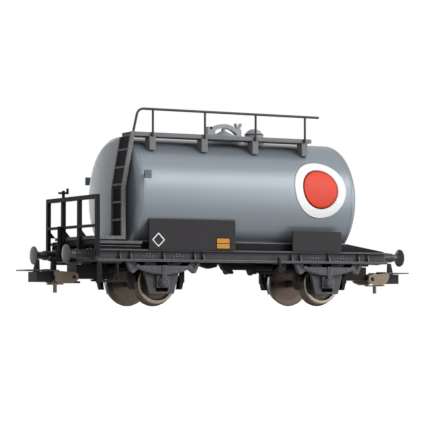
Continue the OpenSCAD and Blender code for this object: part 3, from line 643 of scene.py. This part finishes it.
def build_solebar_rivets():
    """Rivets in two rows over both halves of each spring."""
    web_depth = 1.2 * MM
    group_reach, pitch = 4.3 * MM, 0.85 * MM
    rows = ((0.55 * MM, 2), (-0.15 * MM, 4))
    rivet_r, rivet_h = 0.27 * MM, 0.24 * MM
    web_z = (SOLE_LOW.z + SOLE_HIGH.z) / 2
    face_y = SOLE_HIGH.y - web_depth
    for hand, side in HANDS:
        bm = bmesh.new()
        for name, _ in ENDS:
            for group in SIDES:
                middle = centre("axle_" + name).x + group * group_reach
                for rise, count in rows:
                    for k in range(count):
                        x = middle + (k - (count - 1) / 2) * pitch
                        add_stud(bm, Vector((x, side * face_y, web_z + rise)), (0, side, 0),
                                 rivet_r, rivet_h)
        piece("solebar_rivets_" + hand, bm, RIVET_LIT)


def build_bearer_lips():
    """Thin lip along the top of each tank bearer's outer face; its light grey is a painted highlight."""
    proud, height = 0.12 * MM, 0.32 * MM
    low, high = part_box("tank_bearers")
    for hand, side in HANDS:
        bm = bmesh.new()
        depth = sorted((side * (high.y - SINK), side * (high.y + proud)))
        add_block(bm, (low.x, high.x), depth, (high.z - height, high.z))
        piece("bearer_lip_" + hand, bm, LIP_LIT, bevel=0.04)


def add_plate(bm, x, z, face, side, proud):
    """A thin plate that stands proud of a face across Y."""
    add_block(bm, x, sorted((face, face + side * proud)), z)


def build_board_details():
    """Blank plates on the large boards: a framed diamond, and an orange plate in two fields."""
    edge_half, edge_depth = 1.85 * MM, 0.06 * MM
    field_half, field_depth = 1.45 * MM, 0.10 * MM
    plate_left, plate_right = 19.35 * MM, 23.45 * MM
    plate_foot, plate_top = 0.35 * MM, 3.25 * MM
    plate_proud, line_proud, line = 0.03 * MM, 0.06 * MM, 0.16 * MM
    foot = SOLE_HIGH.z
    for hand, side in HANDS:
        low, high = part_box("boards_" + hand)
        face = high.y if side > 0 else low.y

        # Diamond: a white square on its corner with a smaller dark field
        middle = Vector((low.x + 2.6 * MM, face, foot + 2.5 * MM))
        turned = Matrix.Translation(middle) @ Matrix.Rotation(math.radians(45), 4, "Y")
        for name, half, depth, finish in (("edge", edge_half, edge_depth, PRINT_WHITE),
                                          ("field", field_half, field_depth,
                                           MATERIALS["board_black"])):
            size = half * math.sqrt(2)
            bm = bmesh.new()
            bmesh.ops.create_cube(bm, size=1, matrix=turned @ Matrix.Diagonal((size, depth, size, 1)))
            piece(f"diamond_{name}_{hand}", bm, finish)

        # Orange plate with a dark border and a dark line between its two fields
        plate_x = (low.x + plate_left, low.x + plate_right)
        plate_z = (foot + plate_foot, foot + plate_top)
        bm = bmesh.new()
        add_plate(bm, plate_x, plate_z, face, side, plate_proud)
        piece("orange_plate_" + hand, bm, PRINT_ORANGE)
        bm = bmesh.new()
        middle_z = (plate_z[0] + plate_z[1]) / 2
        for z in (plate_z[0], middle_z - line / 2, plate_z[1] - line):
            add_plate(bm, plate_x, (z, z + line), face, side, line_proud)
        for x in (plate_x[0], plate_x[1] - line):
            add_plate(bm, (x, x + line), plate_z, face, side, line_proud)
        piece("orange_plate_lines_" + hand, bm, SHADOW_GAP)


# ---------- Running gear ----------

TREAD_R = 5.5 * MM
WHEEL_W = 2.8 * MM
BORE_R = 1.0 * MM


def wheel_profile():
    """Wheel section from back to face, and its material number for each step:
    0 for the disc, 1 for the tyre with its flange and tread, 2 for the rim of the face."""
    flange_edge = 0.24 * MM
    profile = [(BORE_R, 0), (TREAD_R - 1.0 * MM, 0), (FLANGE_R - 0.22 * MM, 0)]
    profile += arc((FLANGE_R - flange_edge, 0.28 * MM), flange_edge, -70, 70, 6)
    profile += [(TREAD_R + 0.14 * MM, 0.78 * MM), (TREAD_R, 1.0 * MM),
                (TREAD_R - 0.1 * MM, WHEEL_W - 0.2 * MM)]
    rim_from = len(profile) - 1
    profile += [(TREAD_R - 0.28 * MM, WHEEL_W), (TREAD_R - 0.85 * MM, WHEEL_W),
                (TREAD_R - 0.98 * MM, WHEEL_W - 0.14 * MM)]
    rim_to = len(profile) - 1
    profile += [(TREAD_R - 1.08 * MM, WHEEL_W - 0.72 * MM),
                (TREAD_R - 1.5 * MM, WHEEL_W - 0.86 * MM),
                (BORE_R + 1.6 * MM, WHEEL_W - 0.74 * MM), (BORE_R + 1.0 * MM, WHEEL_W - 0.55 * MM),
                (BORE_R + 0.78 * MM, WHEEL_W - 0.02 * MM), (BORE_R, WHEEL_W)]
    back = [0]
    tread = [1] * (rim_from - 1)
    rim = [2] * (rim_to - rim_from)
    disc = [0] * (len(profile) - 1 - rim_to)
    return profile, back + tread + rim + disc


def build_wheels(name):
    """Two disc wheels with a bright rim face, a scuffed tread and a darker dished disc."""
    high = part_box("wheels_" + name)[1]
    axle = centre("axle_" + name)
    back = high.y - WHEEL_W
    profile, finishes = wheel_profile()
    for hand, side in HANDS:
        bm = bmesh.new()
        place = Matrix.Translation((axle.x, side * back, axle.z)) @ facing((0, side, 0))
        add_turned(bm, profile, place, steps=128, finish_from=finishes)
        stands_for = ["wheels_" + name] if side > 0 else []
        piece(f"wheel_{name}_{hand}", bm, [MATERIALS["wheel_metal"], TREAD, RIM],
              "wheelset_" + name, stands_for=stands_for)


def build_coupler_details(name):
    """Rivet in the middle of each loop pivot."""
    rivet_r, rivet_h = 0.42 * MM, 0.12 * MM
    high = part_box("coupler_loop_" + name)[1]
    pivot = [joint for joint in frame["joints"] if joint["child"] == "loop_" + name][0]["pos_m"]
    bm = bmesh.new()
    for side in SIDES:
        add_stud(bm, Vector((pivot[0], side * (high.y - SINK), pivot[2])), (0, side, 0),
                 rivet_r, rivet_h)
    piece("loop_rivets_" + name, bm, MATERIALS["coupler_black"], "loop_" + name)


# Height near the top of the springs, below the solebar
SPRING_Z = SOLE_LOW.z - 1.3 * MM


def guard_face(name, hand, side):
    """Distance of an axle guard's outermost face from the middle of the wagon."""
    low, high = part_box(f"axle_guard_{name}_{hand}")
    return high.y if side > 0 else -low.y


def build_spring_leaves(name, hand, side):
    """Leaves of one spring, shorter downwards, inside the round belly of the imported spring."""
    leaf_count, leaf_h, leaf_gap = 6, 0.33 * MM, 0.03 * MM
    longest = 7.9 * MM
    belly_r, belly_z = 19.7 * MM, SPRING_Z + 17.8 * MM
    first_top = SPRING_Z + 0.28 * MM
    face_depth, sunk, proud = 0.5 * MM, 0.05 * MM, 0.12 * MM
    axle = centre("axle_" + name)
    face = guard_face(name, hand, side) - face_depth
    depth = sorted((side * (face - sunk), side * (face + proud)))
    bm = bmesh.new()
    for k in range(leaf_count):
        top = first_top - k * (leaf_h + leaf_gap)
        half = min(math.sqrt(belly_r ** 2 - (belly_z - top + leaf_h) ** 2), longest)
        add_block(bm, (axle.x - half, axle.x + half), depth, (top - leaf_h, top))
    piece(f"spring_leaves_{name}_{hand}", bm, MATERIALS["frame_grey"],
          bevel=0.04)


def build_axle_box_cover(name, hand, side):
    """Round box cover with its bolts, buckle bolts, strap rivets and spring eyes of one guard."""
    axle = centre("axle_" + name)
    outer = guard_face(name, hand, side)
    bm = bmesh.new()
    place = Matrix.Translation((axle.x, side * outer, axle.z)) @ facing((0, side, 0))
    add_turned(bm, [(0, -0.3 * MM), (0.95 * MM, -0.3 * MM), (0.95 * MM, -0.06 * MM),
                    (0.85 * MM, 0), (0.62 * MM, 0), (0.55 * MM, -0.07 * MM), (0.3 * MM, -0.07 * MM),
                    (0.24 * MM, 0.02 * MM), (0, 0.04 * MM)], place, steps=40)

    def add_bolt(x, depth, z, radius, height):
        add_stud(bm, Vector((x, side * (outer - depth), z)), (0, side, 0), radius, height)

    ring_r, ring_depth, cover_bolt = 1.12 * MM, 0.42 * MM, 0.16 * MM
    for turn in around(4, 0.5):
        add_bolt(axle.x + ring_r * math.cos(turn), ring_depth, axle.z + ring_r * math.sin(turn),
                 cover_bolt, cover_bolt)
    head_r, rivet_h = 0.2 * MM, 0.15 * MM
    buckle_x, buckle_depth, buckle_z = 0.34 * MM, 0.22 * MM, SPRING_Z - 0.7 * MM
    strap_x, strap_depth, strap_rises = 2.5 * MM, 1.7 * MM, (2.0 * MM, 3.1 * MM)
    eye_x, eye_depth, eye_z = 8.9 * MM, 0.62 * MM, SPRING_Z - 1.15 * MM
    eye_r, eye_h = 0.45 * MM, 0.25 * MM
    for along in SIDES:
        add_bolt(axle.x + along * buckle_x, buckle_depth, buckle_z, head_r, head_r)
        for rise in strap_rises:
            add_bolt(axle.x + along * strap_x, strap_depth, axle.z + rise, head_r, rivet_h)
        add_bolt(axle.x + along * eye_x, eye_depth, eye_z, eye_r, eye_h)
    piece(f"axle_box_cover_{name}_{hand}", bm, COVER_LIT, bevel=0.03)


def build_guard_slot(name, hand, side):
    """Dark backing of the slot below one axle box: painted shade seen through the slot."""
    half_w, foot, top = 1.76 * MM, 2.41 * MM, 1.34 * MM
    back_depth, face_depth = 2.55 * MM, 2.35 * MM
    axle = centre("axle_" + name)
    outer = guard_face(name, hand, side)
    bm = bmesh.new()
    add_block(bm, (axle.x - half_w, axle.x + half_w),
              sorted((side * (outer - back_depth), side * (outer - face_depth))),
              (axle.z - foot, axle.z - top))
    piece(f"axle_guard_slot_{name}_{hand}", bm, SHADOW_GAP)


def build_rigging_shade_board(name, hand, side):
    """Dark board on the inner side of one axle guard: painted shade under the solebar, which also stands for
    unseen brake rigging.
    """
    reach, height = 11.4 * MM, 1.7 * MM
    inner, outer = 10.5 * MM, 10.9 * MM
    axle = centre("axle_" + name)
    bm = bmesh.new()
    add_block(bm, (axle.x - reach, axle.x + reach), sorted((side * inner, side * outer)),
              (SOLE_LOW.z - height, SOLE_LOW.z))
    piece(f"rigging_shade_board_{name}_{hand}", bm, SHADOW_GAP)


def build_buffer(end_name, end, hand):
    """Buffer: bolted base plate, ribbed sleeve, metal plunger and a slightly domed head."""
    plate, plate_t = 1.5 * MM, 0.4 * MM
    bolt_reach, bolt_r, bolt_h = 1.22 * MM, 0.2 * MM, 0.18 * MM
    node_name = f"buffer_{end_name}_{hand}"
    low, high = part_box(node_name)
    middle = (low + high) / 2
    length = high.x - low.x
    head = (high.z - low.z) / 2
    root_x = low.x if end > 0 else high.x
    # Radius and distance from the headstock, in millimetres
    sleeve = [(0, 0.1), (1.45, 0.1), (1.45, 0.9), (1.38, 1.0), (1.2, 1.05), (1.2, 3.2), (1.27, 3.25),
              (1.27, 3.65), (1.2, 3.7), (1.2, 4.25), (1.12, 4.32), (0.97, 4.32)]
    plunger_end = (0.95, 5.5)
    disc = [(head - 0.9 * MM, length - 0.95 * MM), (head - 0.2 * MM, length - 0.6 * MM),
            (head - 0.03 * MM, length - 0.45 * MM), (head, length - 0.35 * MM),
            (head - 0.06 * MM, length - 0.16 * MM), (head * 0.6, length - 0.03 * MM), (0, length)]
    profile = [(radius * MM, along * MM) for radius, along in sleeve + [plunger_end]] + disc
    finishes = [2] * (len(sleeve) - 1) + [1] + [0] * len(disc)
    bm = bmesh.new()
    place = Matrix.Translation((root_x, middle.y, middle.z)) @ facing((end, 0, 0))
    add_turned(bm, profile, place, steps=64, finish_from=finishes)
    plate_face = root_x + end * plate_t
    add_block(bm, sorted((root_x, plate_face)), (middle.y - plate, middle.y + plate),
              (middle.z - plate, middle.z + plate))
    for across in SIDES:
        for up in SIDES:
            point = Vector((plate_face, middle.y + across * bolt_reach, middle.z + up * bolt_reach))
            add_stud(bm, point, (end, 0, 0), bolt_r, bolt_h)
    piece(f"buffer_skin_{end_name}_{hand}", bm, [MATERIALS["buffer_black"], PLUNGER, SLEEVE],
          bevel=0.03, stands_for=[node_name])


finish_frame_nodes()
build_tank_barrel()
for end_name, end in ENDS:
    build_tank_end(end_name, end)
build_roundels()
build_manhole_bolts()
build_manhole_hinge()
build_dome_rings()
build_platform_floor()
build_walkway_deck()
build_ladder_shade()
build_solebar_rivets()
build_bearer_lips()
build_board_details()
for end_name, end in ENDS:
    build_wheels(end_name)
    build_coupler_details(end_name)
    for hand, side in HANDS:
        build_spring_leaves(end_name, hand, side)
        build_axle_box_cover(end_name, hand, side)
        build_guard_slot(end_name, hand, side)
        build_rigging_shade_board(end_name, hand, side)
        build_buffer(end_name, end, hand)


# ---------- Studio ----------

WHITE = (1, 1, 1, 1)
# World light on the wagon; the camera and reflections see the world at 1, which is white
AMBIENT = 0.18


def seen_rays(tree):
    """1 for what the camera sees, directly or through a reflection or glass, and else 0."""
    rays = node(tree, "LightPath").outputs
    direct = maths(tree, "MAXIMUM", rays["Is Camera Ray"], rays["Is Glossy Ray"])
    return maths(tree, "MAXIMUM", direct, rays["Is Transmission Ray"])


def build_floor():
    """Pale floor that is white in the open and keeps the wagon's shadow."""
    size = 6.0
    lit_grey, seen_grey = (0.30, 0.30, 0.30, 1), (0.82, 0.82, 0.82, 1)
    glow_near, glow_far = 0.10, 0.45
    glow_low = 0.55
    mesh = bpy.data.meshes.new("floor")
    bm = bmesh.new()
    bmesh.ops.create_grid(bm, x_segments=4, y_segments=4, size=size / 2)
    bm.to_mesh(mesh)
    bm.free()
    floor = bpy.data.objects.new("floor", mesh)
    bpy.context.scene.collection.objects.link(floor)
    material = bpy.data.materials.new("floor_pale")
    material.use_nodes = True
    tree = material.node_tree
    shader = tree.nodes["Principled BSDF"]
    shader.inputs["Roughness"].default_value = 0.9
    shader.inputs["Specular IOR Level"].default_value = 0.1
    shader.inputs["Emission Color"].default_value = WHITE
    seen = seen_rays(tree)
    away = node(tree, "VectorMath", {0: object_place(tree)}, operation="LENGTH").outputs["Value"]
    glow = maths(tree, "MULTIPLY", seen, ramp(tree, away, glow_near, glow_far, glow_low, 1.0))
    tree.links.new(mix_colour(tree, seen, lit_grey, seen_grey), shader.inputs["Base Color"])
    tree.links.new(glow, shader.inputs["Emission Strength"])
    mesh.materials.append(material)


def build_world():
    """White backdrop to the camera and to reflections, soft grey light on the wagon."""
    world = bpy.data.worlds.new("studio")
    bpy.context.scene.world = world
    world.use_nodes = True
    tree = world.node_tree
    back = tree.nodes["Background"]
    back.inputs["Color"].default_value = WHITE
    tree.links.new(ramp(tree, seen_rays(tree), 0.0, 1.0, AMBIENT, 1.0), back.inputs["Strength"])


def add_lamp(name, place, target, size, power):
    """A rectangular soft lamp aimed at a point."""
    data = bpy.data.lights.new(name, "AREA")
    data.shape = "RECTANGLE"
    data.size, data.size_y = size
    data.energy = power
    lamp = bpy.data.objects.new(name, data)
    bpy.context.scene.collection.objects.link(lamp)
    lamp.location = place
    way = Vector(target) - Vector(place)
    lamp.rotation_euler = way.to_track_quat("-Z", "Y").to_euler()
    lamp.visible_camera = False


def build_lights():
    """Five soft lamps aimed at the middle of the tank; sizes in metres, powers in watts."""
    middle = Vector((0, 0, TANK_Z))
    # Overhead, and weak: the barrel under the walkway stays in shade
    add_lamp("lamp_overhead", (0.08, -0.10, 0.42), middle, (0.50, 0.20), 0.2)
    # High strip in front, on the right: the soft band along the flank
    add_lamp("lamp_strip", (0.29, -0.41, 0.34), middle, (0.50, 0.22), 2.0)
    # Low on the right: even light on the sides, which falls off along the curve of the barrel
    add_lamp("lamp_side", (0.52, -0.42, 0.07), middle, (0.40, 0.30), 2.5)
    # Front left: lifts the dished end beside the ladder
    add_lamp("lamp_fill", (-0.30, -0.40, 0.16), middle, (0.30, 0.30), 0.35)
    # Behind: a soft sheen on the far edge of the dished end
    add_lamp("lamp_behind", (0.02, 0.60, 0.10), middle, (0.30, 0.40), 1.0)


def build_camera():
    """Low camera, below the wagon's axles, that looks slightly upwards from the platform end."""
    data = bpy.data.cameras.new("camera")
    data.sensor_width = 36
    data.lens = 166.6
    data.clip_start, data.clip_end = 0.01, 20
    camera = bpy.data.objects.new("camera", data)
    bpy.context.scene.collection.objects.link(camera)
    camera.location = (-0.2563, -0.46266, 0.00065)
    camera.rotation_euler = (math.radians(92.598), 0, math.radians(-28.761))
    bpy.context.scene.camera = camera


build_floor()
build_world()
build_lights()
build_camera()
bpy.context.scene.view_settings.view_transform = "Standard"
